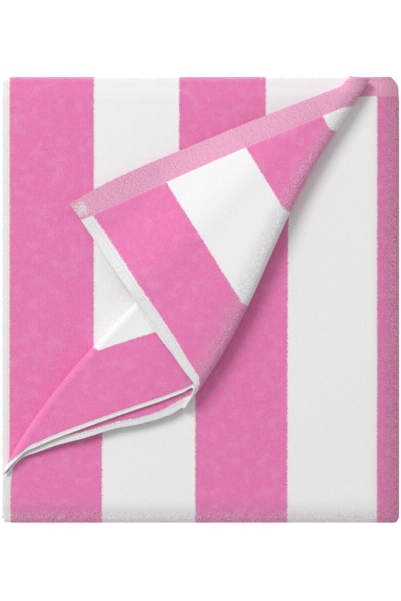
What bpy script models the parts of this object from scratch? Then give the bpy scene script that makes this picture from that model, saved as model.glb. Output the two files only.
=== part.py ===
"""Beach towel: folded in half, then in thirds, with its free corner pleated back over itself."""
import bmesh
import bpy
import numpy as np
from mathutils import Vector

# Sizes in millimetres, in the frame of the finished stack: x right, y away, z up.
MM = 0.001
CLOTH = 3.2
PITCH = 4.0
PLEAT_RADIUS = 4.8
RIGHT_AXIS = 219.3
LEFT_UPPER = -220.3
LEFT_UNDER = -222.9
NEAR_BEND = -242.2
FAR_BEND = 244.4
HEM_Y = 251.2
INNER_END_Y = -231.8
FAR_ROUND = 6.0
FAR_REACH = 14.0
NEAR_ROUND = 3.0
NEAR_REACH = 5.0
CORNER = (-146.8, 108.6)
LOFT = 4.0
LOFT_REACH = 70.0
SETTLE_RIGHT = 30.0
SETTLE_NEAR = 16.0
SETTLE_SHARE = 0.12
UNEVEN_SHARE = 0.02
WAVES = (
    # length to the right, length away, share
    (41.0, 67.0, 0.5),
    (-83.0, 37.0, 0.5),
)
DROP_TOP = 3.0
DROP_FOOT = -88.0
OUTSIDE = PLEAT_RADIUS + PITCH / 2 + CLOTH / 2

# Middle of the finished outline, which is moved over the origin at the end.
CENTRE = (0.07, 1.1)

# Second fold of the pleat, its outermost line from the side hem to the end hem.
SECOND_FOLD = (
    # x, y
    (-6.7, -104.7),
    (9.5, -86.2),
    (21.8, -66.6),
    (34.2, -39.8),
    (52.1, -2.2),
    (67.8, 24.6),
    (81.2, 51.5),
    (95.2, 86.2),
    (105.3, 112.0),
    (132.7, 160.2),
    (148.4, 184.2),
    (173.0, 218.4),
    (189.8, 247.6),
)

# First fold of the pleat, its outermost line from the side hem to the end hem.
FIRST_FOLD = (
    # x, y
    (-219.5, -190.0),
    (-214.0, -176.0),
    (-160.0, -98.0),
    (-119.3, -49.3),
    (-73.4, -2.2),
    (50.0, 122.0),
    (165.0, 250.0),
)

# Sideways bow of the pleat's cloth edges, along each edge from its start.
SIDE_HEM_BOW = (
    # share of the edge, upper half, under half
    (0.0, 0.0, 0.0),
    (0.3, 2.0, 2.0),
    (0.5, 3.5, 3.5),
    (0.7, 4.2, 4.2),
    (0.8, 3.3, 3.3),
    (0.9, 0.6, 0.6),
    (1.0, 0.0, 0.0),
)
END_HEM_BOW = (
    # share of the edge, upper half, under half
    (0.0, 0.0, 0.0),
    (0.12, 4.5, 4.5),
    (0.5, 5.0, 5.0),
    (0.85, 1.0, 1.0),
    (1.0, 0.0, 0.0),
)
DOUBLE_HEM_BOW = (
    # share of the edge, upper half, under half
    (0.0, 0.0, 0.0),
    (0.04, 2.5, 1.0),
    (0.1, 6.0, 0.0),
    (0.16, 9.0, -1.0),
    (0.28, 10.0, -4.6),
    (0.44, 4.0, -8.8),
    (0.56, 0.0, -11.5),
    (0.72, -6.6, -13.0),
    (0.84, -7.5, -10.5),
    (0.93, -6.5, -7.0),
    (1.0, 0.0, 0.0),
)
FLAT_EDGE_BOW = (
    # share of the edge, upper half, under half
    (0.0, 0.0, 0.0),
    (0.12, -5.0, -5.0),
    (0.5, -3.0, -3.0),
    (1.0, 0.0, 0.0),
)
BOW_FADE = 6
FAR_START = 0.7
SLOPE_STEP = 0.5
TINY = 0.001
WAY_STEPS = 201
SAMPLES = 240
SAMPLES_FROM = -0.1
SAMPLES_TO = 1.15
SECOND_DEGREE = 5
FIRST_DEGREE = 4

# How far the cloth at its side hem slides along the folds, as a share of their length.
TOP_SLIDE = (
    # share of the way, upper half, under half
    (0.0, 0.0, 0.0),
    (0.4, 0.0, 0.0),
    (0.6, 0.008, -0.004),
    (0.75, 0.014, 0.002),
    (0.85, 0.018, 0.014),
    (1.0, 0.024, 0.024),
)
SECOND_BEND_SLIDE = (
    # share of the bend, upper half, under half
    (0.0, 0.024, 0.024),
    (0.2, 0.005, 0.014),
    (0.5, -0.03, 0.011),
    (1.0, -0.055, 0.01),
)
TURNED_SLIDE = (
    # share of the way, upper half, under half
    (0.0, -0.055, 0.01),
    (0.16, -0.02, 0.006),
    (0.36, 0.0, 0.002),
    (0.7, 0.0, 0.002),
    (0.85, 0.005, 0.013),
    (1.0, 0.018, 0.033),
)
FIRST_BEND_SLIDE = (
    # share of the bend, upper half, under half
    (0.0, 0.018, 0.033),
    (0.15, 0.0115, 0.016),
    (0.3, -0.002, 0.0),
    (0.5, -0.005, -0.005),
    (1.0, -0.002, -0.002),
)
FLAT_SLIDE = (
    # share of the way, upper half, under half
    (0.0, -0.002, -0.002),
    (1.0, 0.0, 0.0),
)
SLIDE_FADE = 8

# Where the lower side of the second bend runs on past its hem, as a lip under the fold line.
LIP = 4.8
LIP_SHARE = 0.04

# Mesh steps in each part of the sheet.
STEPS_CORNER = 2
STEPS_DROP = 6
STEPS_TOP = 3
STEPS_BEND = 6
STEPS_LOWER_BEND = 4
TURNED_SHARES = (0.07, 0.16, 0.36, 0.58, 0.8, 0.93)
STEPS_FLAT = 4
STEPS_BOTTOM = 12
STEPS_RIGHT = 12
PANEL_SHARES = (0.25, 0.5, 0.75)
STEPS_SIDE_FOLD = 4
MERGE = 0.00002

TOWEL_PINK = (0.78, 0.30, 0.52, 1.0)
TERRY_ROUGHNESS = 0.95


def level(number):
    """Middle height of a doubled layer, counted from the surface."""
    return CLOTH / 2 + PITCH / 2 + 2 * PITCH * number


def smooth(value):
    value = np.clip(value, 0.0, 1.0)
    return value * value * (3 - 2 * value)


def unit(vectors):
    return vectors / np.linalg.norm(vectors, axis=-1, keepdims=True)


def fold_curve(table, degree):
    """A smooth curve through a fold table, with the share of its length as parameter."""
    points = np.array(table)
    chord = np.concatenate([[0.0], np.cumsum(np.linalg.norm(np.diff(points, axis=0), axis=1))])
    share = chord / chord[-1]
    fit_x = np.polyfit(share, points[:, 0], degree)
    fit_y = np.polyfit(share, points[:, 1], degree)

    def curve(s):
        return np.stack([np.polyval(fit_x, s), np.polyval(fit_y, s)], axis=-1)

    return curve


def across(curve, s):
    """Direction square to a fold curve, to the right of the way from side hem to end hem."""
    along = unit(curve(s + TINY) - curve(s - TINY))
    return np.stack([along[..., 1], -along[..., 0]], axis=-1)


second = fold_curve(SECOND_FOLD, SECOND_DEGREE)
first = fold_curve(FIRST_FOLD, FIRST_DEGREE)
FIRST_SAMPLES = first(np.linspace(SAMPLES_FROM, SAMPLES_TO, SAMPLES))


def past_first_fold(plan):
    """Signed distance of plan points from the first fold, positive over the turned part."""
    flat = plan.reshape(-1, 2)
    gaps = flat[:, None, :] - FIRST_SAMPLES[None, :, :]
    nearest = np.argmin(np.linalg.norm(gaps, axis=2), axis=1)
    nearest = np.clip(nearest, 1, len(FIRST_SAMPLES) - 2)
    along = unit(FIRST_SAMPLES[nearest + 1] - FIRST_SAMPLES[nearest - 1])
    gap = flat - FIRST_SAMPLES[nearest]
    signed = gap[:, 0] * along[:, 1] - gap[:, 1] * along[:, 0]
    return signed.reshape(plan.shape[:-1])


def loft(plan):
    return LOFT * smooth(past_first_fold(plan) / LOFT_REACH)


def top_height(plan):
    """Height of the top flap: over the turned part, falling to the stack beyond the first fold."""
    over = smooth((past_first_fold(plan) - DROP_FOOT) / (DROP_TOP - DROP_FOOT))
    return level(2) + 4 * PLEAT_RADIUS * over + loft(plan)


def turned_height(plan):
    return level(2) + 2 * PLEAT_RADIUS + loft(plan)


def table_value(table, share, column):
    """A smooth value between a table's rows, read at shares of its first column."""
    rows = np.array(table)
    x = rows[:, 0]
    y = rows[:, column]
    slope = np.gradient(y, x)
    place = np.clip(np.searchsorted(x, share) - 1, 0, len(x) - 2)
    width = x[place + 1] - x[place]
    t = np.clip((share - x[place]) / width, 0.0, 1.0)
    start = (1 + 2 * t) * (1 - t) ** 2 * y[place] + t * (1 - t) ** 2 * width * slope[place]
    end = t * t * (3 - 2 * t) * y[place + 1] + t * t * (t - 1) * width * slope[place + 1]
    return start + end


def lying(plan, height_of, side):
    """Points and upper-side normals of a row that lies on a height field."""
    step_x = np.array([SLOPE_STEP, 0.0])
    step_y = np.array([0.0, SLOPE_STEP])
    slope_x = (height_of(plan + step_x) - height_of(plan - step_x)) / (2 * SLOPE_STEP)
    slope_y = (height_of(plan + step_y) - height_of(plan - step_y)) / (2 * SLOPE_STEP)
    normals = unit(np.column_stack([-slope_x, -slope_y, np.ones(len(plan))]))
    return np.column_stack([plan, height_of(plan)]), normals * side


def bend_direction(ruling, square, s):
    """Way a bend leans in plan: square to its fold, but along the end hem at the far end."""
    far = smooth((s - FAR_START) / (1 - FAR_START))[..., None]
    return unit(square * (1 - far) + ruling * far)


def frame_of_folds(s):
    """Axis line, bend direction and its slant, for the second fold and then the first."""
    outer = second(s)
    inner = first(s)
    ruling = unit(outer - inner)
    result = []
    for curve, visible, side in ((second, outer, 1), (first, inner, -1)):
        square = across(curve, s)
        direction = bend_direction(ruling, square, s)
        slant = np.sum(direction * square, axis=-1)
        axis = visible - side * direction * (OUTSIDE / slant)[..., None]
        result.append((axis, direction, slant))
    return result


def lip_start(s):
    """Second fold's axis line in plan, moved out where the lip runs on past the hem."""
    axis, direction, slant = frame_of_folds(s)[0]
    return axis + direction * (LIP * smooth(-s / LIP_SHARE) / slant)[..., None]


def on_second_bend(s, turn):
    """Points of the second bend, from the top flap round and under to the turned part."""
    axis, direction, slant = frame_of_folds(s)[0]
    lip = LIP * smooth(-s / LIP_SHARE) * smooth(2 * turn / np.pi - 1)
    reach = (PLEAT_RADIUS * np.sin(turn) + lip) / slant
    height = level(2) + 3 * PLEAT_RADIUS + loft(axis) + PLEAT_RADIUS * np.cos(turn)
    return np.column_stack([axis + direction * reach[:, None], height])


def on_first_bend(s, turn):
    """Points of the first bend, from the turned part round and under to the flat part."""
    axis, direction, slant = frame_of_folds(s)[1]
    reach = PLEAT_RADIUS * np.sin(turn) / slant
    height = level(2) + PLEAT_RADIUS + loft(axis) * (1 - turn / np.pi) + PLEAT_RADIUS * np.cos(turn)
    return np.column_stack([axis - direction * reach[:, None], height])


def bent(bend, s, turn):
    """A row of points on a bend, and normals on the cloth's upper side."""
    along = bend(s + TINY, turn) - bend(s - TINY, turn)
    around = bend(s, turn + TINY) - bend(s, turn - TINY)
    return bend(s, turn), unit(np.cross(around, along))


def edge_bows(plan, s, ends, bow, at_start):
    """Plan points moved sideways near one cloth edge, faded along the folds."""
    fade = (1 - s) ** BOW_FADE if at_start else s ** BOW_FADE
    along = unit(ends[1] - ends[0])
    sideways = np.array([-along[1], along[0]])
    return plan + sideways * (bow * fade)[..., None]


def top_shares(top_plan, count):
    """Shares of the way from the corner to the second fold, row by row, along the first fold."""
    steps = np.linspace(0.0, 1.0, WAY_STEPS)
    tables = [past_first_fold(top_plan(np.full(count, step))) for step in steps]
    distance = np.array(tables)
    marks = np.linspace(DROP_FOOT, DROP_TOP, STEPS_DROP + 1)
    crossings = []
    for mark in marks:
        columns = [np.interp(mark, distance[:, i], steps) for i in range(count)]
        crossings.append(np.array(columns))
    shares = [crossings[0] * step / STEPS_CORNER for step in range(STEPS_CORNER)]
    shares += crossings
    for step in range(1, STEPS_TOP):
        shares.append(crossings[-1] + (1 - crossings[-1]) * step / STEPS_TOP)
    return shares


def pleat_rows(s_values, under):
    """One half of the top third, row by row from its corner out to the flat part."""
    corner = np.array(CORNER)
    count = len(s_values)
    rows = []
    ends = frame_of_folds(np.array([0.0, 1.0]))

    def bow(table, share):
        return table_value(table, share, 2 if under else 1)

    def slid(table, share):
        return s_values + (1 - s_values) ** SLIDE_FADE * bow(table, share)

    def top_plan(share):
        s = slid(TOP_SLIDE, share)
        plan = corner + share[:, None] * (frame_of_folds(s)[0][0] - corner)
        side_bow = bow(SIDE_HEM_BOW, share)
        plan = edge_bows(plan, s_values, (corner, ends[0][0][0]), side_bow, True)
        end_bow = bow(END_HEM_BOW, share)
        return edge_bows(plan, s_values, (corner, ends[0][0][1]), end_bow, False)

    for share in top_shares(top_plan, count):
        rows.append(lying(top_plan(share), top_height, 1))
    for step in range(STEPS_BEND + 1):
        turn = np.pi * step / STEPS_BEND
        s = slid(SECOND_BEND_SLIDE, step / STEPS_BEND)
        rows.append(bent(on_second_bend, s, turn))
    for share in TURNED_SHARES:
        s = slid(TURNED_SLIDE, share)
        start = lip_start(s)
        plan = start + share * (frame_of_folds(s)[1][0] - start)
        turned_ends = (ends[0][0][0], ends[1][0][0])
        plan = edge_bows(plan, s_values, turned_ends, bow(DOUBLE_HEM_BOW, share), True)
        rows.append(lying(plan, turned_height, -1))
    for step in range(STEPS_BEND + 1):
        turn = np.pi * step / STEPS_BEND
        s = slid(FIRST_BEND_SLIDE, step / STEPS_BEND)
        rows.append(bent(on_first_bend, s, turn))
    border = border_of(s_values, LEFT_UNDER if under else LEFT_UPPER)
    upright = np.tile([0.0, 0.0, 1.0], (count, 1))
    start = frame_of_folds(s_values)[1][0]
    for step in range(1, STEPS_FLAT + 1):
        share = step / STEPS_FLAT
        axis = frame_of_folds(slid(FLAT_SLIDE, share))[1][0]
        plan = axis + share * (border - axis)
        edge_bow = bow(FLAT_EDGE_BOW, share)
        plan = edge_bows(plan, s_values, (start[0], border[0]), edge_bow, True)
        rows.append((np.column_stack([plan, np.full(count, level(2))]), upright))
    side = -1 if under else 1
    return [points + normals * side * PITCH / 2 for points, normals in rows]


def settled(points):
    """The stack pressed lower towards its folds, a little uneven, and moved over the origin."""
    x = points[:, 0]
    y = points[:, 1]
    right = smooth((x - RIGHT_AXIS + SETTLE_RIGHT) / SETTLE_RIGHT)
    near = smooth((NEAR_BEND - y + SETTLE_NEAR) / SETTLE_NEAR)
    far = smooth((y - FAR_BEND + SETTLE_NEAR) / SETTLE_NEAR)
    press = 1 - SETTLE_SHARE * np.maximum(right, np.maximum(near, far))
    wave = sum(share * np.sin(x / right_way + y / away) for right_way, away, share in WAVES)
    height = points[:, 2] * press * (1 + UNEVEN_SHARE * wave)
    return np.column_stack([x - CENTRE[0], y - CENTRE[1], height])


def rounded_right(y):
    """Right fold's axis, drawn in a little at the far and near corners of the stack."""
    far = np.clip((y - HEM_Y) / FAR_REACH + 1, 0.0, 1.0)
    near = np.clip((NEAR_BEND - y) / NEAR_REACH, 0.0, 1.0)
    return RIGHT_AXIS - FAR_ROUND * far ** 2 - NEAR_ROUND * near ** 2


def border_of(s, left):
    """Where the flat part ends: along the near fold, then up the right-hand fold."""
    near_right = rounded_right(NEAR_BEND)
    along_bottom = np.clip(s / 0.5, 0.0, 1.0)
    along_right = np.clip(s / 0.5 - 1.0, 0.0, 1.0)
    y = NEAR_BEND + (HEM_Y - NEAR_BEND) * along_right
    x = np.where(along_right > 0, rounded_right(y), left + (near_right - left) * along_bottom)
    return np.column_stack([x, y])


def strip_path():
    """The lower two thirds as a path: y, z and the upper side's y and z at each step."""
    path = []
    for step in range(STEPS_LOWER_BEND + 1):
        turn = np.pi * step / STEPS_LOWER_BEND
        y = NEAR_BEND - PITCH * np.sin(turn)
        path.append((y, level(1.5) + PITCH * np.cos(turn), -np.sin(turn), np.cos(turn)))
    for share in PANEL_SHARES:
        y = NEAR_BEND + (FAR_BEND - NEAR_BEND) * share
        path.append((y, level(1), 0.0, -1.0))
    for step in range(STEPS_LOWER_BEND + 1):
        turn = np.pi * step / STEPS_LOWER_BEND
        y = FAR_BEND + PITCH * np.sin(turn)
        path.append((y, level(0.5) + PITCH * np.cos(turn), -np.sin(turn), -np.cos(turn)))
    for share in (*PANEL_SHARES, 1.0):
        y = FAR_BEND + (INNER_END_Y - FAR_BEND) * share
        path.append((y, level(0), 0.0, 1.0))
    return np.array(path)


def lower_rows(path, under):
    """Middle surface of one half of the lower two thirds."""
    side = -1 if under else 1
    left = LEFT_UNDER if under else LEFT_UPPER
    rows = []
    for y, z, side_y, side_z in path:
        right = rounded_right(y)
        x = np.linspace(left, right, STEPS_BOTTOM + 1)
        y_row = np.full_like(x, y + side * side_y * PITCH / 2)
        z_row = np.full_like(x, z + side * side_z * PITCH / 2)
        rows.append(np.column_stack([x, y_row, z_row]))
    return np.array(rows)


def side_fold_rows(x, y, z, side_y, side_z):
    """The right-hand fold: half circles from the upper half to the under half."""
    rows = []
    for step in range(STEPS_SIDE_FOLD + 1):
        turn = np.pi * step / STEPS_SIDE_FOLD
        reach = PITCH / 2 * np.sin(turn)
        offset = PITCH / 2 * np.cos(turn)
        rows.append(np.column_stack([x + reach, y + side_y * offset, z + side_z * offset]))
    return np.array(rows)


def add_rows(mesh, rows):
    """Quads between neighbouring rows of points."""
    grid = [[mesh.verts.new(point * MM) for point in row] for row in rows]
    for upper, lower in zip(grid, grid[1:]):
        for i in range(len(upper) - 1):
            mesh.faces.new((upper[i], upper[i + 1], lower[i + 1], lower[i]))


def build_towel():
    s_bottom = np.linspace(0.0, 0.5, STEPS_BOTTOM + 1)
    s_right = np.linspace(0.5, 1.0, STEPS_RIGHT + 1)
    s_values = np.concatenate([s_bottom, s_right[1:]])
    mesh = bmesh.new()
    for under in (False, True):
        add_rows(mesh, pleat_rows(s_values, under))
    path = strip_path()
    for under in (False, True):
        add_rows(mesh, lower_rows(path, under))
    right_y = border_of(s_values, LEFT_UPPER)[STEPS_BOTTOM:, 1]
    flat = np.zeros_like(right_y)
    height = flat + level(2)
    add_rows(mesh, side_fold_rows(rounded_right(right_y), right_y, height, flat, flat + 1))
    lower_right = rounded_right(path[:, 0])
    add_rows(mesh, side_fold_rows(lower_right, path[:, 0], path[:, 1], path[:, 2], path[:, 3]))
    bmesh.ops.remove_doubles(mesh, verts=mesh.verts[:], dist=MERGE)
    bmesh.ops.recalc_face_normals(mesh, faces=mesh.faces[:])
    data = bpy.data.meshes.new("beach_towel")
    mesh.to_mesh(data)
    mesh.free()
    for face in data.polygons:
        face.use_smooth = True
    return data


def towel_material():
    material = bpy.data.materials.new("towel_terry")
    material.use_nodes = True
    shader = material.node_tree.nodes["Principled BSDF"]
    shader.inputs["Base Color"].default_value = TOWEL_PINK
    shader.inputs["Roughness"].default_value = TERRY_ROUGHNESS
    return material


for old in list(bpy.data.objects):
    bpy.data.objects.remove(old, do_unlink=True)
collection = bpy.data.collections.new("beach_towel")
bpy.context.scene.collection.children.link(collection)
towel = bpy.data.objects.new("beach_towel", build_towel())
towel.data.materials.append(towel_material())
collection.objects.link(towel)
shell = towel.modifiers.new("cloth", "SOLIDIFY")
shell.thickness = CLOTH * MM
shell.offset = 0.0
shell.use_even_offset = True
solid = bpy.data.meshes.new_from_object(towel.evaluated_get(bpy.context.evaluated_depsgraph_get()))
towel.modifiers.remove(shell)
towel.data = solid
for vertex in solid.vertices:
    vertex.co = Vector(settled(np.array([vertex.co]) / MM)[0] * MM)
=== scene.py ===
"""The folded beach towel: velour terry with cabana stripes, side hems and a flat-woven end hem."""
import math

import bmesh
import bpy
import numpy as np
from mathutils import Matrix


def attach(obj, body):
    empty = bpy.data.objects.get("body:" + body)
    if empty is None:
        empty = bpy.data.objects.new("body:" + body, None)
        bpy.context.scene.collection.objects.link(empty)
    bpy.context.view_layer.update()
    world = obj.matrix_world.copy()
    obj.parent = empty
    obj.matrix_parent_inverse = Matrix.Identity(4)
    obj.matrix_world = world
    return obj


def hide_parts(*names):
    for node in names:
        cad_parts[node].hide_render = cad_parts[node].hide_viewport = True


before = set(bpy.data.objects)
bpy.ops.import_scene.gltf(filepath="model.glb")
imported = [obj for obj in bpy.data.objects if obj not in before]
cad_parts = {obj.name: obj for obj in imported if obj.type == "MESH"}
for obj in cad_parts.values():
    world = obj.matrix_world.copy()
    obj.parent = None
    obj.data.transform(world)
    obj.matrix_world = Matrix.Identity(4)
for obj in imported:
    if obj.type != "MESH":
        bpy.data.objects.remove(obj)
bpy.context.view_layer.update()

# Sizes in millimetres, in the frame of the finished stack: x right, y away, z up.
MM = 0.001

# The cloth's thickness, the step from layer to layer, and the radius of the pleat's bends.
CLOTH = 3.2
PITCH = 4.0
PLEAT_RADIUS = 4.8

# From the axis of a pleat's bend to the outside of the doubled cloth.
OUTSIDE = PLEAT_RADIUS + PITCH / 2 + CLOTH / 2

# Axes of the folds at the stack's border, its left edges, and the two end hems.
RIGHT_AXIS = 219.3
LEFT_UPPER = -220.3
LEFT_UNDER = -222.9
NEAR_BEND = -242.2
FAR_BEND = 244.4
HEM_Y = 251.2
INNER_END_Y = -231.8

# How far the right fold is drawn in at its far and near corners, and over what length.
FAR_ROUND = 9.0
FAR_REACH = 14.0
NEAR_ROUND = 3.0
NEAR_REACH = 5.0

# Tip of the top flap, and how much the turned part rises away from the first fold.
CORNER = (-146.8, 108.6)
LOFT = 4.0
LOFT_REACH = 70.0

# Distances from the first fold between which the top flap falls from the pleat to the stack.
DROP_TOP = 3.0
DROP_FOOT = -88.0

# How much lower the stack lies at its folds, how far in from them, and how uneven it is.
SETTLE_RIGHT = 30.0
SETTLE_NEAR = 16.0
SETTLE_SHARE = 0.12
UNEVEN_SHARE = 0.02
WAVES = (
    # length to the right, length away, share
    (41.0, 67.0, 0.5),
    (-83.0, 37.0, 0.5),
)

# Middle of the finished outline, which is moved over the origin at the end.
CENTRE = (0.07, 1.1)

# Second fold of the pleat, its outermost line from the side hem to the end hem.
SECOND_FOLD = (
    # x, y
    (-6.7, -104.7),
    (9.5, -86.2),
    (21.8, -66.6),
    (34.2, -39.8),
    (52.1, -2.2),
    (67.8, 24.6),
    (81.2, 51.5),
    (95.2, 86.2),
    (105.3, 112.0),
    (132.7, 160.2),
    (148.4, 184.2),
    (173.0, 218.4),
    (189.8, 247.6),
)

# First fold of the pleat, its outermost line from the side hem to the end hem.
FIRST_FOLD = (
    # x, y
    (-219.5, -190.0),
    (-214.0, -176.0),
    (-160.0, -98.0),
    (-119.3, -49.3),
    (-73.4, -2.2),
    (50.0, 122.0),
    (165.0, 250.0),
)

# Sideways bow of the pleat's cloth edges, along each edge from its start.
SIDE_HEM_BOW = (
    # share of the edge, upper half, under half
    (0.0, 0.0, 0.0),
    (0.3, 2.0, 2.0),
    (0.5, 3.5, 3.5),
    (0.7, 4.2, 4.2),
    (0.8, 3.3, 3.3),
    (0.9, 0.6, 0.6),
    (1.0, 0.0, 0.0),
)
END_HEM_BOW = (
    # share of the edge, upper half, under half
    (0.0, 0.0, 0.0),
    (0.12, 4.5, 4.5),
    (0.5, 5.0, 5.0),
    (0.85, 1.0, 1.0),
    (1.0, 0.0, 0.0),
)
DOUBLE_HEM_BOW = (
    # share of the edge, upper half, under half
    (0.0, 0.0, 0.0),
    (0.04, 2.5, 1.0),
    (0.1, 6.0, 0.0),
    (0.16, 9.0, -1.0),
    (0.28, 10.0, -4.6),
    (0.44, 4.0, -8.8),
    (0.56, 0.0, -11.5),
    (0.72, -6.6, -13.0),
    (0.84, -7.5, -10.5),
    (0.93, -6.5, -7.0),
    (1.0, 0.0, 0.0),
)
FLAT_EDGE_BOW = (
    # share of the edge, upper half, under half
    (0.0, 0.0, 0.0),
    (0.12, -5.0, -5.0),
    (0.5, -3.0, -3.0),
    (1.0, 0.0, 0.0),
)
BOW_FADE = 6

# Where, along a fold, its bends start to lean along the end hem.
FAR_START = 0.7

# How finely slopes, directions and the fold curves are measured, and the curves' degrees.
SLOPE_STEP = 0.5
TINY = 0.001
WAY_STEPS = 201
SAMPLES = 240
SAMPLES_FROM = -0.1
SAMPLES_TO = 1.15
SECOND_DEGREE = 5
FIRST_DEGREE = 4

# How far the cloth at its side hem slides along the folds, as a share of their length.
TOP_SLIDE = (
    # share of the way, upper half, under half
    (0.0, 0.0, 0.0),
    (0.4, 0.0, 0.0),
    (0.6, 0.008, -0.004),
    (0.75, 0.014, 0.002),
    (0.85, 0.018, 0.014),
    (1.0, 0.024, 0.024),
)
SECOND_BEND_SLIDE = (
    # share of the bend, upper half, under half
    (0.0, 0.024, 0.024),
    (0.2, 0.005, 0.014),
    (0.5, -0.03, 0.011),
    (1.0, -0.055, 0.01),
)
TURNED_SLIDE = (
    # share of the way, upper half, under half
    (0.0, -0.055, 0.01),
    (0.16, -0.02, 0.006),
    (0.36, 0.0, 0.002),
    (0.7, 0.0, 0.002),
    (0.85, 0.005, 0.013),
    (1.0, 0.018, 0.033),
)
FIRST_BEND_SLIDE = (
    # share of the bend, upper half, under half
    (0.0, 0.018, 0.033),
    (0.15, 0.0115, 0.016),
    (0.3, -0.002, 0.0),
    (0.5, -0.005, -0.005),
    (1.0, -0.002, -0.002),
)
FLAT_SLIDE = (
    # share of the way, upper half, under half
    (0.0, -0.002, -0.002),
    (1.0, 0.0, 0.0),
)
SLIDE_FADE = 8

# Where the lower side of the second bend runs on past its hem, as a lip under the fold line.
LIP = 4.8
LIP_SHARE = 0.04

# The cloth laid flat: its width and the edges of its stripes.
WIDTH = 895.6
STRIPE_EDGES = (7.3, 109.8, 214.5, 317.5, 418.3, 505.3, 599.4, 696.8, 792.6, 889.7)

# How the pleat maps to the flat cloth. Both tables start with the way along its end hem.
HEM_STRETCH = ((0.0, 0.0), (106.0, 109.8), (203.0, 214.5), (296.0, 317.5), (356.0, 383.0))
STRIPE_TURN = ((0.0, 0.0), (106.0, 1.0), (203.0, 1.5), (296.0, 5.0), (356.0, 7.0))
CLOTH_FADE = 6
CLOTH_END_FADE = 40
STRIPE_TURN_PASSES = 3

# Hems: the width of each, their thickness, and the breadth of the step up to the pile.
SIDE_HEM = (
    # length from the end hem, upper half, under half
    (0.0, 14.5, 9.0),
    (60.0, 16.5, 9.0),
    (130.0, 14.5, 8.0),
    (230.0, 12.0, 7.6),
    (275.0, 8.3, 7.6),
    (420.0, 7.3, 7.6),
    (560.0, 7.3, 8.0),
    (1500.0, 7.3, 8.0),
)
END_HEM = 22.5
HEM_CLOTH = 1.9
HEM_STEP = 2.5

# How far from a fold its pile opens and lets the ground show, and how far painted shade darkens it
# towards the fold, in millimetres and in shares.
OPEN_AND_SHADE_REACH = 20.0
OPEN_AND_SHADE_RIGHT = 24.0
OPEN_AND_SHADE_NEAR = 14.0
OPEN_AND_SHADE_FAR = 4.0
OPEN_AND_SHADE_FAR_SHARE = 0.5
OPEN_AND_SHADE_TURNED_SHARE = 0.15

# Mesh steps in each part of the sheet.
STEPS_CORNER = 14
STEPS_DROP = 22
STEPS_TOP = 20
STEPS_BEND = 12
STEPS_LOWER_BEND = 10
TURNED_SHARES = (0.008, 0.02, 0.035, *np.linspace(0.06, 0.98, 22))
STEPS_FLAT = 26
PANEL_SHARES = (0.006, 0.014, 0.025, *np.linspace(0.04, 0.96, 10), 0.975, 0.986, 0.994)
STEPS_SIDE_FOLD = 8
EDGE_SHARES = (0.0, 0.002, 0.005, 0.009, 0.014, 0.02, 0.028, 0.038)
STEPS_BOTTOM = 44
STEPS_RIGHT = 44

# Where the flat part's border turns from the near fold up the right fold, as a share of it.
BORDER_CORNER = 0.5


def level(number):
    """Middle height of a doubled layer, counted from the surface."""
    return CLOTH / 2 + PITCH / 2 + 2 * PITCH * number


def smooth(value):
    value = np.clip(value, 0.0, 1.0)
    return value * value * (3 - 2 * value)


def unit(vectors):
    return vectors / np.linalg.norm(vectors, axis=-1, keepdims=True)


def fold_curve(table, degree):
    """A smooth curve through a fold table, with the share of its length as parameter."""
    points = np.array(table)
    chord = np.concatenate([[0.0], np.cumsum(np.linalg.norm(np.diff(points, axis=0), axis=1))])
    share = chord / chord[-1]
    fit_x = np.polyfit(share, points[:, 0], degree)
    fit_y = np.polyfit(share, points[:, 1], degree)

    def curve(s):
        return np.stack([np.polyval(fit_x, s), np.polyval(fit_y, s)], axis=-1)

    return curve


def across(curve, s):
    """Direction square to a fold curve, to the right of the way from side hem to end hem."""
    along = unit(curve(s + TINY) - curve(s - TINY))
    return np.stack([along[..., 1], -along[..., 0]], axis=-1)


second = fold_curve(SECOND_FOLD, SECOND_DEGREE)
first = fold_curve(FIRST_FOLD, FIRST_DEGREE)
FIRST_SAMPLES = first(np.linspace(SAMPLES_FROM, SAMPLES_TO, SAMPLES))


def past_first_fold(plan):
    """Signed distance of plan points from the first fold, positive over the turned part."""
    flat = plan.reshape(-1, 2)
    gaps = flat[:, None, :] - FIRST_SAMPLES[None, :, :]
    nearest = np.argmin(np.linalg.norm(gaps, axis=2), axis=1)
    nearest = np.clip(nearest, 1, len(FIRST_SAMPLES) - 2)
    along = unit(FIRST_SAMPLES[nearest + 1] - FIRST_SAMPLES[nearest - 1])
    gap = flat - FIRST_SAMPLES[nearest]
    signed = gap[:, 0] * along[:, 1] - gap[:, 1] * along[:, 0]
    return signed.reshape(plan.shape[:-1])


def loft(plan):
    return LOFT * smooth(past_first_fold(plan) / LOFT_REACH)


def top_height(plan):
    """Height of the top flap: over the turned part, falling to the stack beyond the first fold."""
    over = smooth((past_first_fold(plan) - DROP_FOOT) / (DROP_TOP - DROP_FOOT))
    return level(2) + 4 * PLEAT_RADIUS * over + loft(plan)


def turned_height(plan):
    return level(2) + 2 * PLEAT_RADIUS + loft(plan)


def table_value(table, share, column):
    """A smooth value between a table's rows, read at shares of its first column."""
    rows = np.array(table)
    x = rows[:, 0]
    y = rows[:, column]
    slope = np.gradient(y, x)
    place = np.clip(np.searchsorted(x, share) - 1, 0, len(x) - 2)
    width = x[place + 1] - x[place]
    t = np.clip((share - x[place]) / width, 0.0, 1.0)
    start = (1 + 2 * t) * (1 - t) ** 2 * y[place] + t * (1 - t) ** 2 * width * slope[place]
    end = t * t * (3 - 2 * t) * y[place + 1] + t * t * (t - 1) * width * slope[place + 1]
    return start + end


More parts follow.
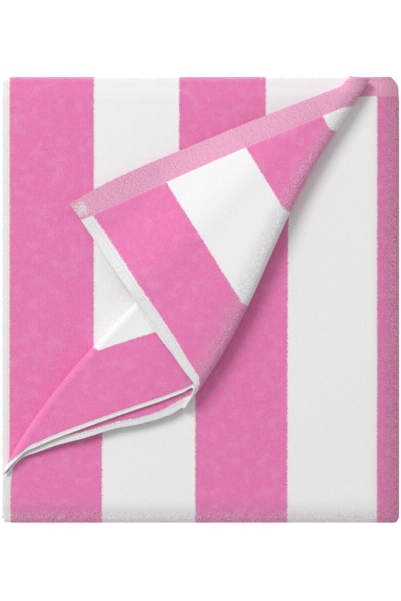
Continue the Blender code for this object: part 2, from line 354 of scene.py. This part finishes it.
def lying(plan, height_of, side):
    """Points and upper-side normals of a row that lies on a height field."""
    step_x = np.array([SLOPE_STEP, 0.0])
    step_y = np.array([0.0, SLOPE_STEP])
    slope_x = (height_of(plan + step_x) - height_of(plan - step_x)) / (2 * SLOPE_STEP)
    slope_y = (height_of(plan + step_y) - height_of(plan - step_y)) / (2 * SLOPE_STEP)
    normals = unit(np.column_stack([-slope_x, -slope_y, np.ones(len(plan))]))
    return np.column_stack([plan, height_of(plan)]), normals * side


def bend_direction(ruling, square, s):
    """Way a bend leans in plan: square to its fold, but along the end hem at the far end."""
    far = smooth((s - FAR_START) / (1 - FAR_START))[..., None]
    return unit(square * (1 - far) + ruling * far)


def frame_of_folds(s):
    """Axis line, bend direction and its slant, for the second fold and then the first."""
    outer = second(s)
    inner = first(s)
    ruling = unit(outer - inner)
    folds = []
    for curve, visible, side in ((second, outer, 1), (first, inner, -1)):
        square = across(curve, s)
        direction = bend_direction(ruling, square, s)
        slant = np.sum(direction * square, axis=-1)
        axis = visible - side * direction * (OUTSIDE / slant)[..., None]
        folds.append((axis, direction, slant))
    return folds


def lip_start(s):
    """Second fold's axis line in plan, moved out where the lip runs on past the hem."""
    axis, direction, slant = frame_of_folds(s)[0]
    return axis + direction * (LIP * smooth(-s / LIP_SHARE) / slant)[..., None]


def on_second_bend(s, turn):
    """Points of the second bend, from the top flap round and under to the turned part."""
    axis, direction, slant = frame_of_folds(s)[0]
    lip = LIP * smooth(-s / LIP_SHARE) * smooth(2 * turn / np.pi - 1)
    reach = (PLEAT_RADIUS * np.sin(turn) + lip) / slant
    height = level(2) + 3 * PLEAT_RADIUS + loft(axis) + PLEAT_RADIUS * np.cos(turn)
    return np.column_stack([axis + direction * reach[:, None], height])


def on_first_bend(s, turn):
    """Points of the first bend, from the turned part round and under to the flat part."""
    axis, direction, slant = frame_of_folds(s)[1]
    reach = PLEAT_RADIUS * np.sin(turn) / slant
    height = level(2) + PLEAT_RADIUS + loft(axis) * (1 - turn / np.pi) + PLEAT_RADIUS * np.cos(turn)
    return np.column_stack([axis - direction * reach[:, None], height])


def bent(bend, s, turn):
    """A row of points on a bend, and normals on the cloth's upper side."""
    along = bend(s + TINY, turn) - bend(s - TINY, turn)
    around = bend(s, turn + TINY) - bend(s, turn - TINY)
    return bend(s, turn), unit(np.cross(around, along))


def edge_bows(plan, s, ends, bow, at_start):
    """Plan points moved sideways near one cloth edge, faded along the folds."""
    fade = (1 - s) ** BOW_FADE if at_start else s ** BOW_FADE
    along = unit(ends[1] - ends[0])
    sideways = np.array([-along[1], along[0]])
    return plan + sideways * (bow * fade)[..., None]


def top_shares(top_plan, count):
    """Shares of the way from the corner to the second fold, row by row, along the first fold."""
    steps = np.linspace(0.0, 1.0, WAY_STEPS)
    distance = np.array([past_first_fold(top_plan(np.full(count, step))) for step in steps])
    marks = np.linspace(DROP_FOOT, DROP_TOP, STEPS_DROP + 1)
    crossings = []
    for mark in marks:
        crossings.append(np.array([np.interp(mark, column, steps) for column in distance.T]))
    shares = [crossings[0] * step / STEPS_CORNER for step in range(STEPS_CORNER)]
    shares += crossings
    for step in range(1, STEPS_TOP):
        shares.append(crossings[-1] + (1 - crossings[-1]) * step / STEPS_TOP)
    return shares


def settled(points):
    """The stack pressed lower towards its folds, a little uneven, and moved over the origin."""
    x = points[:, 0]
    y = points[:, 1]
    right = smooth((x - RIGHT_AXIS + SETTLE_RIGHT) / SETTLE_RIGHT)
    near = smooth((NEAR_BEND - y + SETTLE_NEAR) / SETTLE_NEAR)
    far = smooth((y - FAR_BEND + SETTLE_NEAR) / SETTLE_NEAR)
    press = 1 - SETTLE_SHARE * np.maximum(right, np.maximum(near, far))
    wave = sum(share * np.sin(x / right_way + y / away) for right_way, away, share in WAVES)
    height = points[:, 2] * press * (1 + UNEVEN_SHARE * wave)
    return np.column_stack([x - CENTRE[0], y - CENTRE[1], height])


def rounded_right(y):
    """Right fold's axis, drawn in a little at the far and near corners of the stack."""
    far = np.clip((y - HEM_Y) / FAR_REACH + 1, 0.0, 1.0)
    near = np.clip((NEAR_BEND - y) / NEAR_REACH, 0.0, 1.0)
    return RIGHT_AXIS - FAR_ROUND * far ** 2 - NEAR_ROUND * near ** 2


def border_of(s, left):
    """Where the flat part ends: along the near fold, then up the right-hand fold."""
    near_right = rounded_right(NEAR_BEND)
    along_bottom = np.clip(s / BORDER_CORNER, 0.0, 1.0)
    along_right = np.clip(s / BORDER_CORNER - 1.0, 0.0, 1.0)
    y = NEAR_BEND + (HEM_Y - NEAR_BEND) * along_right
    x = np.where(along_right > 0, rounded_right(y), left + (near_right - left) * along_bottom)
    return np.column_stack([x, y])


def cloth_on_flap(plan, corner, fold_ends):
    """Cloth coordinates on the top flap, whose stripes run straight from hem to fold."""
    hem = unit(fold_ends[1] - corner)
    side = unit(fold_ends[0] - corner)
    away = plan - corner
    start_angle = math.atan2(side[1], side[0])
    hem_side = np.array([-hem[1], hem[0]])
    depth = -(away @ hem_side)
    along = away @ hem
    angle = np.full(len(plan), start_angle)
    for _ in range(STRIPE_TURN_PASSES):
        run = np.cos(angle) * hem[0] + np.sin(angle) * hem[1]
        fall = -(np.cos(angle) * hem_side[0] + np.sin(angle) * hem_side[1])
        start = along - depth * run / fall
        angle = start_angle - np.radians(table_value(STRIPE_TURN, start, 1))
    return np.column_stack([table_value(HEM_STRETCH, start, 1), depth])


def pleat_rows(s_values, under):
    """One half of the top third, row by row: middle points, upper normals, cloth coordinates."""
    corner = np.array(CORNER)
    count = len(s_values)
    rows = []
    second_axis, first_axis = [fold[0] for fold in frame_of_folds(s_values)]
    second_ends, first_ends = [fold[0] for fold in frame_of_folds(np.array([0.0, 1.0]))]
    left = LEFT_UNDER if under else LEFT_UPPER

    def bow(table, share):
        return table_value(table, share, 2 if under else 1)

    def slid(table, share):
        return s_values + (1 - s_values) ** SLIDE_FADE * bow(table, share)

    def top_plan(share):
        s = slid(TOP_SLIDE, share)
        plan = corner + share[:, None] * (frame_of_folds(s)[0][0] - corner)
        side_bow = bow(SIDE_HEM_BOW, share)
        plan = edge_bows(plan, s_values, (corner, second_ends[0]), side_bow, True)
        end_bow = bow(END_HEM_BOW, share)
        return edge_bows(plan, s_values, (corner, second_ends[1]), end_bow, False)

    def flat_cloth(plan):
        return np.column_stack([plan[:, 0] - left, HEM_Y - plan[:, 1]])

    def flap_cloth(share):
        plan = corner + share[:, None] * (second_axis - corner)
        return cloth_on_flap(plan, corner, second_ends)

    cloth_second = flap_cloth(np.ones(count))
    cloth_first = flat_cloth(first(s_values))
    cloth_first[:, 0] = np.where(s_values <= 0, 0.0, cloth_first[:, 0])
    cloth_first[:, 0] -= cloth_first[0, 0] * (1 - s_values) ** CLOTH_FADE
    cloth_first[:, 1] = np.maximum(cloth_first[:, 1], 0.0) * (1 - s_values ** CLOTH_END_FADE)

    gap = np.linalg.norm(second_axis - first_axis, axis=1)
    bend_part = math.pi * PLEAT_RADIUS / (2 * math.pi * PLEAT_RADIUS + gap)

    def between(bends, flats):
        """Cloth coordinates after so many bends and so much of the flat between them."""
        share = bend_part * bends + (1 - 2 * bend_part) * flats
        return cloth_second + (cloth_first - cloth_second) * share[:, None]

    for share in top_shares(top_plan, count):
        points, normals = lying(top_plan(share), top_height, 1)
        reach = np.linalg.norm(second_axis - corner, axis=1) * (1 - share)
        # The last value: how far the pile is opened near the second fold, which also sets its
        # painted shade.
        rows.append((points, normals, flap_cloth(share), 1 - smooth(reach / OPEN_AND_SHADE_REACH)))
    for step in range(STEPS_BEND + 1):
        turn = np.pi * step / STEPS_BEND
        s = slid(SECOND_BEND_SLIDE, step / STEPS_BEND)
        points, normals = bent(on_second_bend, s, turn)
        cloth = between(step / STEPS_BEND, 0.0)
        rows.append((points, normals, cloth, np.ones(count)))
    for share in TURNED_SHARES:
        s = slid(TURNED_SLIDE, share)
        start = lip_start(s)
        plan = start + share * (frame_of_folds(s)[1][0] - start)
        turned_ends = (second_ends[0], first_ends[0])
        plan = edge_bows(plan, s_values, turned_ends, bow(DOUBLE_HEM_BOW, share), True)
        points, normals = lying(plan, turned_height, -1)
        near = 1 - smooth(share / OPEN_AND_SHADE_TURNED_SHARE)
        rows.append((points, normals, between(1.0, share), np.full(count, near)))
    for step in range(STEPS_BEND + 1):
        turn = np.pi * step / STEPS_BEND
        s = slid(FIRST_BEND_SLIDE, step / STEPS_BEND)
        points, normals = bent(on_first_bend, s, turn)
        cloth = between(1.0 + step / STEPS_BEND, 1.0)
        rows.append((points, normals, cloth, np.zeros(count)))
    border = border_of(s_values, left)
    upright = np.tile([0.0, 0.0, 1.0], (count, 1))
    jump = cloth_first - flat_cloth(first_axis)
    for step in range(1, STEPS_FLAT + 1):
        share = step / STEPS_FLAT
        axis = frame_of_folds(slid(FLAT_SLIDE, share))[1][0]
        plan = axis + share * (border - axis)
        edge_bow = bow(FLAT_EDGE_BOW, share)
        plan = edge_bows(plan, s_values, (first_axis[0], border[0]), edge_bow, True)
        cloth = flat_cloth(plan) + jump * (1 - share) ** CLOTH_FADE
        cloth[0, 0] = 0.0
        cloth[-1, 1] = 0.0
        points = np.column_stack([plan, np.full(count, level(2))])
        rows.append((points, upright, cloth, np.zeros(count)))
    side = -1 if under else 1
    half = []
    for points, normals, cloth, opened_and_shaded in rows:
        u = WIDTH - cloth[:, 0] if under else cloth[:, 0]
        cloth = np.column_stack([u, cloth[:, 1], opened_and_shaded])
        half.append((points + normals * side * PITCH / 2, normals * side, cloth))
    return [np.array(part) for part in zip(*half)]


def strip_path():
    """The lower two thirds: y, z, the upper side's y and z, and the length along the cloth."""
    path = []
    panel = HEM_Y - NEAR_BEND
    bend = math.pi * PITCH
    for step in range(STEPS_LOWER_BEND + 1):
        turn = np.pi * step / STEPS_LOWER_BEND
        y = NEAR_BEND - PITCH * np.sin(turn)
        z = level(1.5) + PITCH * np.cos(turn)
        path.append((y, z, -np.sin(turn), np.cos(turn), panel + bend * step / STEPS_LOWER_BEND))
    start = panel + bend
    for share in PANEL_SHARES:
        along = (FAR_BEND - NEAR_BEND) * share
        path.append((NEAR_BEND + along, level(1), 0.0, -1.0, start + along))
    start += FAR_BEND - NEAR_BEND
    for step in range(STEPS_LOWER_BEND + 1):
        turn = np.pi * step / STEPS_LOWER_BEND
        y = FAR_BEND + PITCH * np.sin(turn)
        z = level(0.5) + PITCH * np.cos(turn)
        path.append((y, z, -np.sin(turn), -np.cos(turn), start + bend * step / STEPS_LOWER_BEND))
    start += bend
    for share in (*PANEL_SHARES, 1.0):
        along = (FAR_BEND - INNER_END_Y) * share
        path.append((FAR_BEND - along, level(0), 0.0, 1.0, start + along))
    return np.array(path)


def lower_rows(path, s_bottom, under):
    """One half of the lower two thirds: middle points, face normals, cloth coordinates."""
    side = -1 if under else 1
    left = LEFT_UNDER if under else LEFT_UPPER
    points = []
    normals = []
    cloth = []
    for y, z, side_y, side_z, along in path:
        x = left + (rounded_right(y) - left) * s_bottom / BORDER_CORNER
        y_row = np.full_like(x, y + side * side_y * PITCH / 2)
        z_row = np.full_like(x, z + side * side_z * PITCH / 2)
        points.append(np.column_stack([x, y_row, z_row]))
        normals.append(np.tile([0.0, side * side_y, side * side_z], (len(x), 1)))
        u = x - left
        u = WIDTH - u if under else u
        cloth.append(np.column_stack([u, np.full_like(x, along), np.zeros_like(x)]))
    return np.array(points), np.array(normals), np.array(cloth)


def side_fold_rows(x, y, z, side_y, side_z, along):
    """The right-hand fold: half circles from the upper half to the under half, as columns."""
    points = []
    normals = []
    cloth = []
    turns = np.linspace(0.0, np.pi, STEPS_SIDE_FOLD + 1)
    start = RIGHT_AXIS - LEFT_UPPER
    end = WIDTH - (RIGHT_AXIS - LEFT_UNDER)
    for turn in turns:
        reach = np.sin(turn)
        offset = np.cos(turn)
        out = np.column_stack([np.full_like(x, reach), side_y * offset, side_z * offset])
        points.append(np.column_stack([x, y, z]) + out * PITCH / 2)
        normals.append(out)
        across_cloth = start + (end - start) * turn / np.pi
        cloth.append(np.column_stack([np.full_like(x, across_cloth), along, np.ones_like(x)]))
    return [np.swapaxes(np.array(part), 0, 1) for part in (points, normals, cloth)]


class Sheet:
    """A sheet of cloth gathered patch by patch, with shared borders."""

    def __init__(self):
        self.points = []
        self.normals = []
        self.cloth = []
        self.faces = []

    def patch(self, points, normals, cloth, known=None):
        """Adds a grid of points; known maps grid places to vertices that exist already."""
        known = known or {}
        rows, columns = points.shape[:2]
        index = np.zeros((rows, columns), dtype=int)
        for r in range(rows):
            for c in range(columns):
                if (r, c) in known:
                    index[r, c] = known[(r, c)]
                    continue
                index[r, c] = len(self.points)
                self.points.append(points[r, c])
                self.normals.append(normals[r, c])
                self.cloth.append(cloth[r, c])
        for r in range(rows - 1):
            for c in range(columns - 1):
                corners = [index[r, c], index[r, c + 1], index[r + 1, c + 1], index[r + 1, c]]
                ring = [v for i, v in enumerate(corners) if v != corners[i - 1]]
                if len(ring) > 2:
                    self.faces.append(ring)
        return index


def gather_sheet():
    """The whole towel's middle surface."""
    edge = np.array(EDGE_SHARES)
    bottom = np.linspace(edge[-1], BORDER_CORNER, STEPS_BOTTOM + 1)
    right = np.linspace(BORDER_CORNER, 1 - edge[-1], STEPS_RIGHT + 1)
    s_bottom = np.concatenate([edge, bottom[1:]])
    s_right = np.concatenate([right, 1 - edge[-2::-1]])
    s_values = np.concatenate([s_bottom, s_right[1:]])
    corner_at = len(s_bottom) - 1
    sheet = Sheet()
    path = strip_path()
    upper_index = []
    lower_index = []
    for under in (False, True):
        points, normals, cloth = pleat_rows(s_values, under)
        pole = len(sheet.points)
        known = {(0, c): pole for c in range(1, len(s_values))}
        index = sheet.patch(points, normals, cloth, known)
        upper_index.append(index)
        points, normals, cloth = lower_rows(path, s_bottom, under)
        known = {(0, c): index[-1, c] for c in range(len(s_bottom))}
        lower_index.append(sheet.patch(points, normals, cloth, known))
    right_y = border_of(s_values, LEFT_UPPER)[corner_at:, 1]
    flat = np.zeros_like(right_y)
    fold = side_fold_rows(rounded_right(right_y), right_y, flat + level(2), flat, flat + 1,
                          HEM_Y - right_y)
    rows = len(right_y)
    last = STEPS_SIDE_FOLD
    known = {(r, 0): upper_index[0][-1, corner_at + r] for r in range(rows)}
    known.update({(r, last): upper_index[1][-1, corner_at + r] for r in range(rows)})
    upper_fold = sheet.patch(*fold, known)
    fold = side_fold_rows(rounded_right(path[:, 0]), *path.T)
    rows = len(path)
    known = {(0, c): upper_fold[0, c] for c in range(last + 1)}
    known.update({(r, 0): lower_index[0][r, -1] for r in range(rows)})
    known.update({(r, last): lower_index[1][r, -1] for r in range(rows)})
    sheet.patch(*fold, known)
    return sheet


def hem_share(cloth):
    """Distance from the nearer side edge, counted in widths of the side hem at that place."""
    under = cloth[:, 0] > WIDTH / 2
    from_side = np.where(under, WIDTH - cloth[:, 0], cloth[:, 0])
    upper_width = table_value(SIDE_HEM, cloth[:, 1], 1)
    return from_side / np.where(under, table_value(SIDE_HEM, cloth[:, 1], 2), upper_width)


def opened_and_shaded_at_folds(points):
    """How far the pile opens near the folds at the stack's border, and how much painted shade
    darkens it there.
    """
    right = smooth((points[:, 0] - RIGHT_AXIS + OPEN_AND_SHADE_RIGHT) / OPEN_AND_SHADE_RIGHT)
    near = smooth((NEAR_BEND - points[:, 1] + OPEN_AND_SHADE_NEAR) / OPEN_AND_SHADE_NEAR)
    far = OPEN_AND_SHADE_FAR_SHARE * smooth((points[:, 1] - FAR_BEND) / OPEN_AND_SHADE_FAR)
    return np.maximum(right, np.maximum(near, far))


def cloth_thickness(cloth):
    """Thickness of the cloth: thin at the hems, full where the pile stands."""
    side = (hem_share(cloth) - 1) * SIDE_HEM[-1][1] / HEM_STEP
    end = (cloth[:, 1] - END_HEM) / HEM_STEP
    return HEM_CLOTH + (CLOTH - HEM_CLOTH) * smooth(np.minimum(side, end) + 0.5)


def closed_faces(faces, count):
    """Faces of both sides of a sheet and of its rim; the under side's points come count later."""
    uses = {}
    for face in faces:
        for a, b in zip(face, face[1:] + face[:1]):
            uses.setdefault((min(a, b), max(a, b)), []).append((a, b))
    rim = [edges[0] for edges in uses.values() if len(edges) == 1]
    under = [[v + count for v in reversed(face)] for face in faces]
    return [*faces, *under, *([b, a, a + count, b + count] for a, b in rim)]


def store(data, name, values):
    """Stores a vector at each point of the cloth, the same on both sides."""
    layer = data.attributes.new(name, "FLOAT_VECTOR", "POINT")
    layer.data.foreach_set("vector", np.concatenate([values, values]).ravel())


def build_towel():
    sheet = gather_sheet()
    middle = np.array(sheet.points)
    normals = unit(np.array(sheet.normals))
    cloth = np.array(sheet.cloth)
    half = cloth_thickness(cloth)[:, None] / 2
    points = settled(np.concatenate([middle + normals * half, middle - normals * half])) * MM
    data = bpy.data.meshes.new("beach_towel_cloth")
    data.from_pydata(points.tolist(), [], closed_faces(sheet.faces, len(middle)))
    outward = bmesh.new()
    outward.from_mesh(data)
    bmesh.ops.recalc_face_normals(outward, faces=outward.faces[:])
    outward.to_mesh(data)
    outward.free()
    phase = np.interp(cloth[:, 0], STRIPE_EDGES, np.arange(len(STRIPE_EDGES)))
    # How far the pile is opened, which the material also uses for painted shade at the folds.
    opened_and_shaded = np.maximum(cloth[:, 2], opened_and_shaded_at_folds(middle))
    store(data, "cloth", np.column_stack([cloth[:, :2] * MM, opened_and_shaded]))
    store(data, "weave", np.column_stack([phase, hem_share(cloth), cloth[:, 1] / END_HEM]))
    for face in data.polygons:
        face.use_smooth = True
    towel = bpy.data.objects.new("towel_cloth", data)
    bpy.context.scene.collection.objects.link(towel)
    return towel


# Colours of the pile, the end hem, its tacking, the ground under the pile, which also paints shade
# at the folds, and the stitches.
PINK = (0.94, 0.237, 0.53, 1.0)
WHITE = (0.93, 0.93, 0.935, 1.0)
PALE = (0.93, 0.62, 0.78, 1.0)
HEM_PINK = (0.8, 0.27, 0.48, 1.0)
HEM_PALE = (0.91, 0.55, 0.71, 1.0)
TACK = (0.66, 0.42, 0.52, 1.0)
GROUND_AND_FOLD_SHADE = (0.5, 0.42, 0.47, 1.0)
STITCH_GREY = (0.6, 0.58, 0.6, 1.0)

# Lengths of what repeats along the cloth, in metres.
RIB = 0.00224
STITCH = 0.003
WEAVE = 0.0011

# Noise patterns: how fine each one is, and its detail.
GRAIN_NOISE = (1500.0, 2.0)
TUFT_NOISE = (750.0, 3.0)
BLOTCH_NOISE = (90.0, 5.0)
FLECK_NOISE = (1250.0, 1.0)
CHAMBRAY_NOISE = (1100.0, 2.0)
TACK_NOISE = (800.0, 1.0)
CHAMBRAY_STRETCH = (0.4, 1.6)

# Soft edges: a value where each starts and one where it ends; the edge of the painted shade at the
# right fold is in metres to the right.
STRIPE_EDGE = (0.492, 0.508)
BLOTCH_EDGE = (0.45, 0.75)
FLECK_EDGE = (0.42, 0.6)
RIGHT_SHADE_EDGE = (0.188, 0.222)
PILE_EDGE = (0.93, 1.07)
BODY_EDGE = (0.985, 1.015)
STITCH_EDGE = (-0.3, 0.2)
CHAMBRAY_EDGE = (0.35, 0.65)
TACK_EDGE = (0.4, 0.6)

# How strongly a pattern works, and the value it is added to.
STRIPE_RAGGED = (0.05, -0.025)
HEM_RAGGED = (0.5, -0.25)
RIB_SHADE = (0.035, 0.97)
TUFT_SHADE = (0.36, 0.82)
GRAIN_SHADE = (0.3, 0.85)
WEAVE_SHADE = (0.03, 0.97)
# Painted shade: how much darker the pile is at the right fold, and the end hem where the pile
# opens.
PAINTED_FOLD_SHADE = (-0.22, 1.0)
PINK_DEPTH = (0.85, 0.4)

# Rows across a hem, in widths of it: the middle and half the breadth.
SIDE_STITCH = (0.72, 0.06)
END_STITCH = (0.9, 0.03)
TACK_ROW = (0.5, 0.36)

# Shares of one look in another.
BLOTCH_SHARE = 0.16
# How much of the opened pile, with its flecks and painted fold shade, is mixed in.
OPENED_AND_SHADED_SHARE = 0.6
STITCH_SHARE = 0.5
TACK_SHARE = 0.8
END_RAGGED_SHARE = 0.15
RIB_RELIEF_SHARE = 0.2

# Added to the count of stripes, so that the colour turns where a stripe ends.
STRIPE_START = 0.5

TERRY_INPUTS = {
    "Roughness": 0.95,
    "Specular IOR Level": 0.1,
    "Sheen Weight": 0.25,
    "Sheen Roughness": 0.5,
}
BUMP_INPUTS = {"Strength": 0.5, "Distance": 0.0008}

# Sockets of a mix node that mixes colours.
MIX_FACTOR = 0
MIX_FIRST = 6
MIX_SECOND = 7
MIX_RESULT = 2


def fill(node, values):
    """Sets inputs of a shader node by name."""
    for name, value in values.items():
        node.inputs[name].default_value = value


class Nodes:
    """Short ways to add and join shader nodes."""

    def __init__(self, material):
        self.tree = material.node_tree

    def add(self, kind, **settings):
        node = self.tree.nodes.new(kind)
        for name, value in settings.items():
            setattr(node, name, value)
        return node

    def put(self, socket, value):
        if isinstance(value, bpy.types.NodeSocket):
            self.tree.links.new(value, socket)
        else:
            socket.default_value = value

    def math(self, operation, *values):
        node = self.add("ShaderNodeMath", operation=operation)
        for socket, value in zip(node.inputs, values):
            self.put(socket, value)
        return node.outputs[0]

    def step(self, value, low, high):
        node = self.add("ShaderNodeMapRange", interpolation_type="SMOOTHSTEP")
        self.put(node.inputs["Value"], value)
        self.put(node.inputs["From Min"], low)
        self.put(node.inputs["From Max"], high)
        return node.outputs[0]

    def mix(self, factor, first_color, second_color, blend="MIX"):
        node = self.add("ShaderNodeMix", data_type="RGBA", blend_type=blend)
        self.put(node.inputs[MIX_FACTOR], factor)
        self.put(node.inputs[MIX_FIRST], first_color)
        self.put(node.inputs[MIX_SECOND], second_color)
        return node.outputs[MIX_RESULT]

    def parts(self, vector):
        node = self.add("ShaderNodeSeparateXYZ")
        self.put(node.inputs[0], vector)
        return node.outputs

    def split(self, attribute):
        """The three parts of a vector stored on the cloth."""
        source = self.add("ShaderNodeAttribute", attribute_name=attribute)
        return self.parts(source.outputs["Vector"])

    def join(self, x, y):
        node = self.add("ShaderNodeCombineXYZ")
        self.put(node.inputs[0], x)
        self.put(node.inputs[1], y)
        return node.outputs[0]

    def shaded(self, color, value):
        """A colour made darker or lighter by a value."""
        node = self.add("ShaderNodeCombineColor")
        for socket in node.inputs[:3]:
            self.put(socket, value)
        return self.mix(1.0, color, node.outputs[0], "MULTIPLY")

    def band(self, value, middle, half):
        """One inside a band of values, zero outside."""
        away = self.math("ABSOLUTE", self.math("SUBTRACT", value, middle))
        return self.math("LESS_THAN", away, half)

    def wave(self, distance, length):
        """A sine along a distance, with the given wave length."""
        return self.math("SINE", self.math("MULTIPLY", distance, 2 * math.pi / length))

    def stitches(self, along, across_hem, row):
        """One on the stitches of a row that runs along a hem, zero beside them."""
        dashes = self.step(self.wave(along, STITCH), *STITCH_EDGE)
        return self.math("MULTIPLY", dashes, self.band(across_hem, *row))

    def noise(self, vector, scale, detail):
        node = self.add("ShaderNodeTexNoise")
        self.put(node.inputs["Vector"], vector)
        self.put(node.inputs["Scale"], scale)
        self.put(node.inputs["Detail"], detail)
        return node.outputs["Fac"]


def towel_material():
    """Velour stripes, opened pile with painted shade at the folds, plain side hems and a chambray
    end hem.
    """
    material = bpy.data.materials.new("towel_terry_look")
    material.use_nodes = True
    n = Nodes(material)
    shader = material.node_tree.nodes["Principled BSDF"]
    u, v, opened_and_shaded = n.split("cloth")
    phase, side, end = n.split("weave")
    place = n.add("ShaderNodeTexCoord").outputs["Object"]
    ribs = n.wave(u, RIB)
    grain = n.noise(place, *GRAIN_NOISE)
    tufts = n.noise(place, *TUFT_NOISE)

    # The pile's stripes, blotches and the shade of its texture, with painted shade darkening the
    # right fold.
    ragged = n.math("MULTIPLY_ADD", tufts, *STRIPE_RAGGED)
    started = n.math("ADD", n.math("ADD", phase, ragged), STRIPE_START)
    is_pink = n.step(n.math("PINGPONG", started, 1.0), *STRIPE_EDGE)
    colour = n.mix(is_pink, WHITE, PINK)
    light = n.mix(is_pink, WHITE, PALE)
    blotch = n.step(n.noise(place, *BLOTCH_NOISE), *BLOTCH_EDGE)
    colour = n.mix(n.math("MULTIPLY", blotch, BLOTCH_SHARE), colour, light)
    shade = n.math("MULTIPLY_ADD", ribs, *RIB_SHADE)
    shade = n.math("MULTIPLY", shade, n.math("MULTIPLY_ADD", tufts, *TUFT_SHADE))
    shade = n.math("MULTIPLY", shade, n.math("MULTIPLY_ADD", grain, *GRAIN_SHADE))
    depth = n.math("MULTIPLY_ADD", is_pink, *PINK_DEPTH)
    shade = n.math("MULTIPLY_ADD", n.math("SUBTRACT", shade, 1.0), depth, 1.0)
    # Painted shade: the pile darker towards the right fold, by its place to the right.
    painted_shade_at_right_fold = n.step(n.parts(place)[0], *RIGHT_SHADE_EDGE)
    shade = n.math("MULTIPLY", shade, n.math("MULTIPLY_ADD", painted_shade_at_right_fold, *PAINTED_FOLD_SHADE))

    # The opened pile, which shows flecks of the ground, with painted shade darkening it towards the
    # folds.
    flecks = n.step(n.noise(place, *FLECK_NOISE), *FLECK_EDGE)
    ground_and_fold_shade = n.mix(flecks, n.mix(1.0, colour, GROUND_AND_FOLD_SHADE, "MULTIPLY"), light)
    colour = n.mix(n.math("MULTIPLY", opened_and_shaded, OPENED_AND_SHADED_SHARE), colour, ground_and_fold_shade)
    colour = n.shaded(colour, shade)

    # The side hems: a plain weave with a stitch row.
    hem_ragged = n.math("MULTIPLY_ADD", tufts, *HEM_RAGGED)
    in_pile = n.step(n.math("ADD", side, hem_ragged), *PILE_EDGE)
    hem = n.shaded(WHITE, n.math("MULTIPLY_ADD", n.wave(v, WEAVE), *WEAVE_SHADE))
    stitch = n.math("MULTIPLY", n.stitches(v, side, SIDE_STITCH), STITCH_SHARE)
    hem = n.mix(stitch, hem, STITCH_GREY)
    colour = n.mix(in_pile, hem, colour)

    # The end hem: chambray with a stitch row, and tacking where it meets a side hem.
    along, away = [n.math("MULTIPLY", way, by) for way, by in zip((u, v), CHAMBRAY_STRETCH)]
    chambray = n.noise(n.join(along, away), *CHAMBRAY_NOISE)
    band = n.mix(n.step(chambray, *CHAMBRAY_EDGE), HEM_PINK, HEM_PALE)
    seam = n.math("MULTIPLY", n.stitches(u, end, END_STITCH), STITCH_SHARE)
    band = n.mix(seam, band, PINK)
    corner = n.math("MULTIPLY", n.band(end, *TACK_ROW), n.math("SUBTRACT", 1.0, in_pile))
    tack = n.mix(n.step(n.noise(place, *TACK_NOISE), *TACK_EDGE), TACK, WHITE)
    band = n.mix(n.math("MULTIPLY", corner, TACK_SHARE), band, tack)
    # Painted shade: the end hem darker where the pile opens near the folds.
    band = n.shaded(band, n.math("MULTIPLY_ADD", opened_and_shaded, *PAINTED_FOLD_SHADE))
    ragged_end = n.math("ADD", end, n.math("MULTIPLY", hem_ragged, END_RAGGED_SHARE))
    colour = n.mix(n.step(ragged_end, *BODY_EDGE), band, colour)

    rib_relief = n.math("MULTIPLY", ribs, RIB_RELIEF_SHARE)
    relief = n.math("ADD", n.math("ADD", grain, tufts), rib_relief)
    bump = n.add("ShaderNodeBump")
    fill(bump, BUMP_INPUTS)
    n.put(bump.inputs["Height"], n.math("MULTIPLY", relief, depth))
    fill(shader, TERRY_INPUTS)
    n.put(shader.inputs["Base Color"], colour)
    n.put(shader.inputs["Normal"], bump.outputs[0])
    return material


# The stage, in metres, with the camera's sensor in millimetres.
CAMERA_HEIGHT = 2.5
CAMERA_SENSOR = 36.0
CAMERA_CLIP = 50.0
PHOTO_HEIGHT = 0.673
STACK_TOP = 0.023
WINDOW_PLACE = (-2.4, 2.8, 3.6)
WINDOW_SIZE = 2.2
WINDOW_POWER = 156.0
FLOOR_REACH = 6.0
FLOOR_GAP = 0.0003
FLOOR_CORNERS = ((-1, -1), (1, -1), (1, 1), (-1, 1))
FLOOR_INPUTS = {
    "Base Color": (0.5, 0.5, 0.5, 1.0),
    "Roughness": 0.9,
    "Emission Color": (1.0, 1.0, 1.0, 1.0),
    "Emission Strength": 0.76,
}
ROOM_INPUTS = {"Color": (1.0, 1.0, 1.0, 1.0), "Strength": 0.5}


def add_camera():
    camera = bpy.data.cameras.new("overhead")
    camera.sensor_width = CAMERA_SENSOR
    camera.lens = CAMERA_SENSOR * (CAMERA_HEIGHT - STACK_TOP) / PHOTO_HEIGHT
    camera.clip_end = CAMERA_CLIP
    holder = bpy.data.objects.new("overhead", camera)
    holder.location = (-CENTRE[0] * MM, -CENTRE[1] * MM, CAMERA_HEIGHT)
    bpy.context.scene.collection.objects.link(holder)
    bpy.context.scene.camera = holder


def add_window():
    """An area light that faces the origin."""
    light = bpy.data.lights.new("window", "AREA")
    light.size = WINDOW_SIZE
    light.energy = WINDOW_POWER
    holder = bpy.data.objects.new("window", light)
    holder.location = WINDOW_PLACE
    direction = -np.array(WINDOW_PLACE)
    flat = math.hypot(direction[0], direction[1])
    holder.rotation_euler = (math.atan2(flat, -direction[2]), 0.0,
                             math.atan2(direction[1], direction[0]) - math.pi / 2)
    bpy.context.scene.collection.objects.link(holder)


def add_floor():
    data = bpy.data.meshes.new("floor")
    points = [(x * FLOOR_REACH, y * FLOOR_REACH, -FLOOR_GAP) for x, y in FLOOR_CORNERS]
    data.from_pydata(points, [], [(0, 1, 2, 3)])
    floor = bpy.data.objects.new("floor", data)
    material = bpy.data.materials.new("floor_white")
    material.use_nodes = True
    fill(material.node_tree.nodes["Principled BSDF"], FLOOR_INPUTS)
    data.materials.append(material)
    bpy.context.scene.collection.objects.link(floor)


def add_world():
    world = bpy.data.worlds.new("white_room")
    world.use_nodes = True
    fill(world.node_tree.nodes["Background"], ROOM_INPUTS)
    bpy.context.scene.world = world
    bpy.context.scene.view_settings.view_transform = "Standard"


towel = build_towel()
towel.data.materials.append(towel_material())
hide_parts("beach_towel")
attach(towel, "root")
add_floor()
add_world()
add_camera()
add_window()
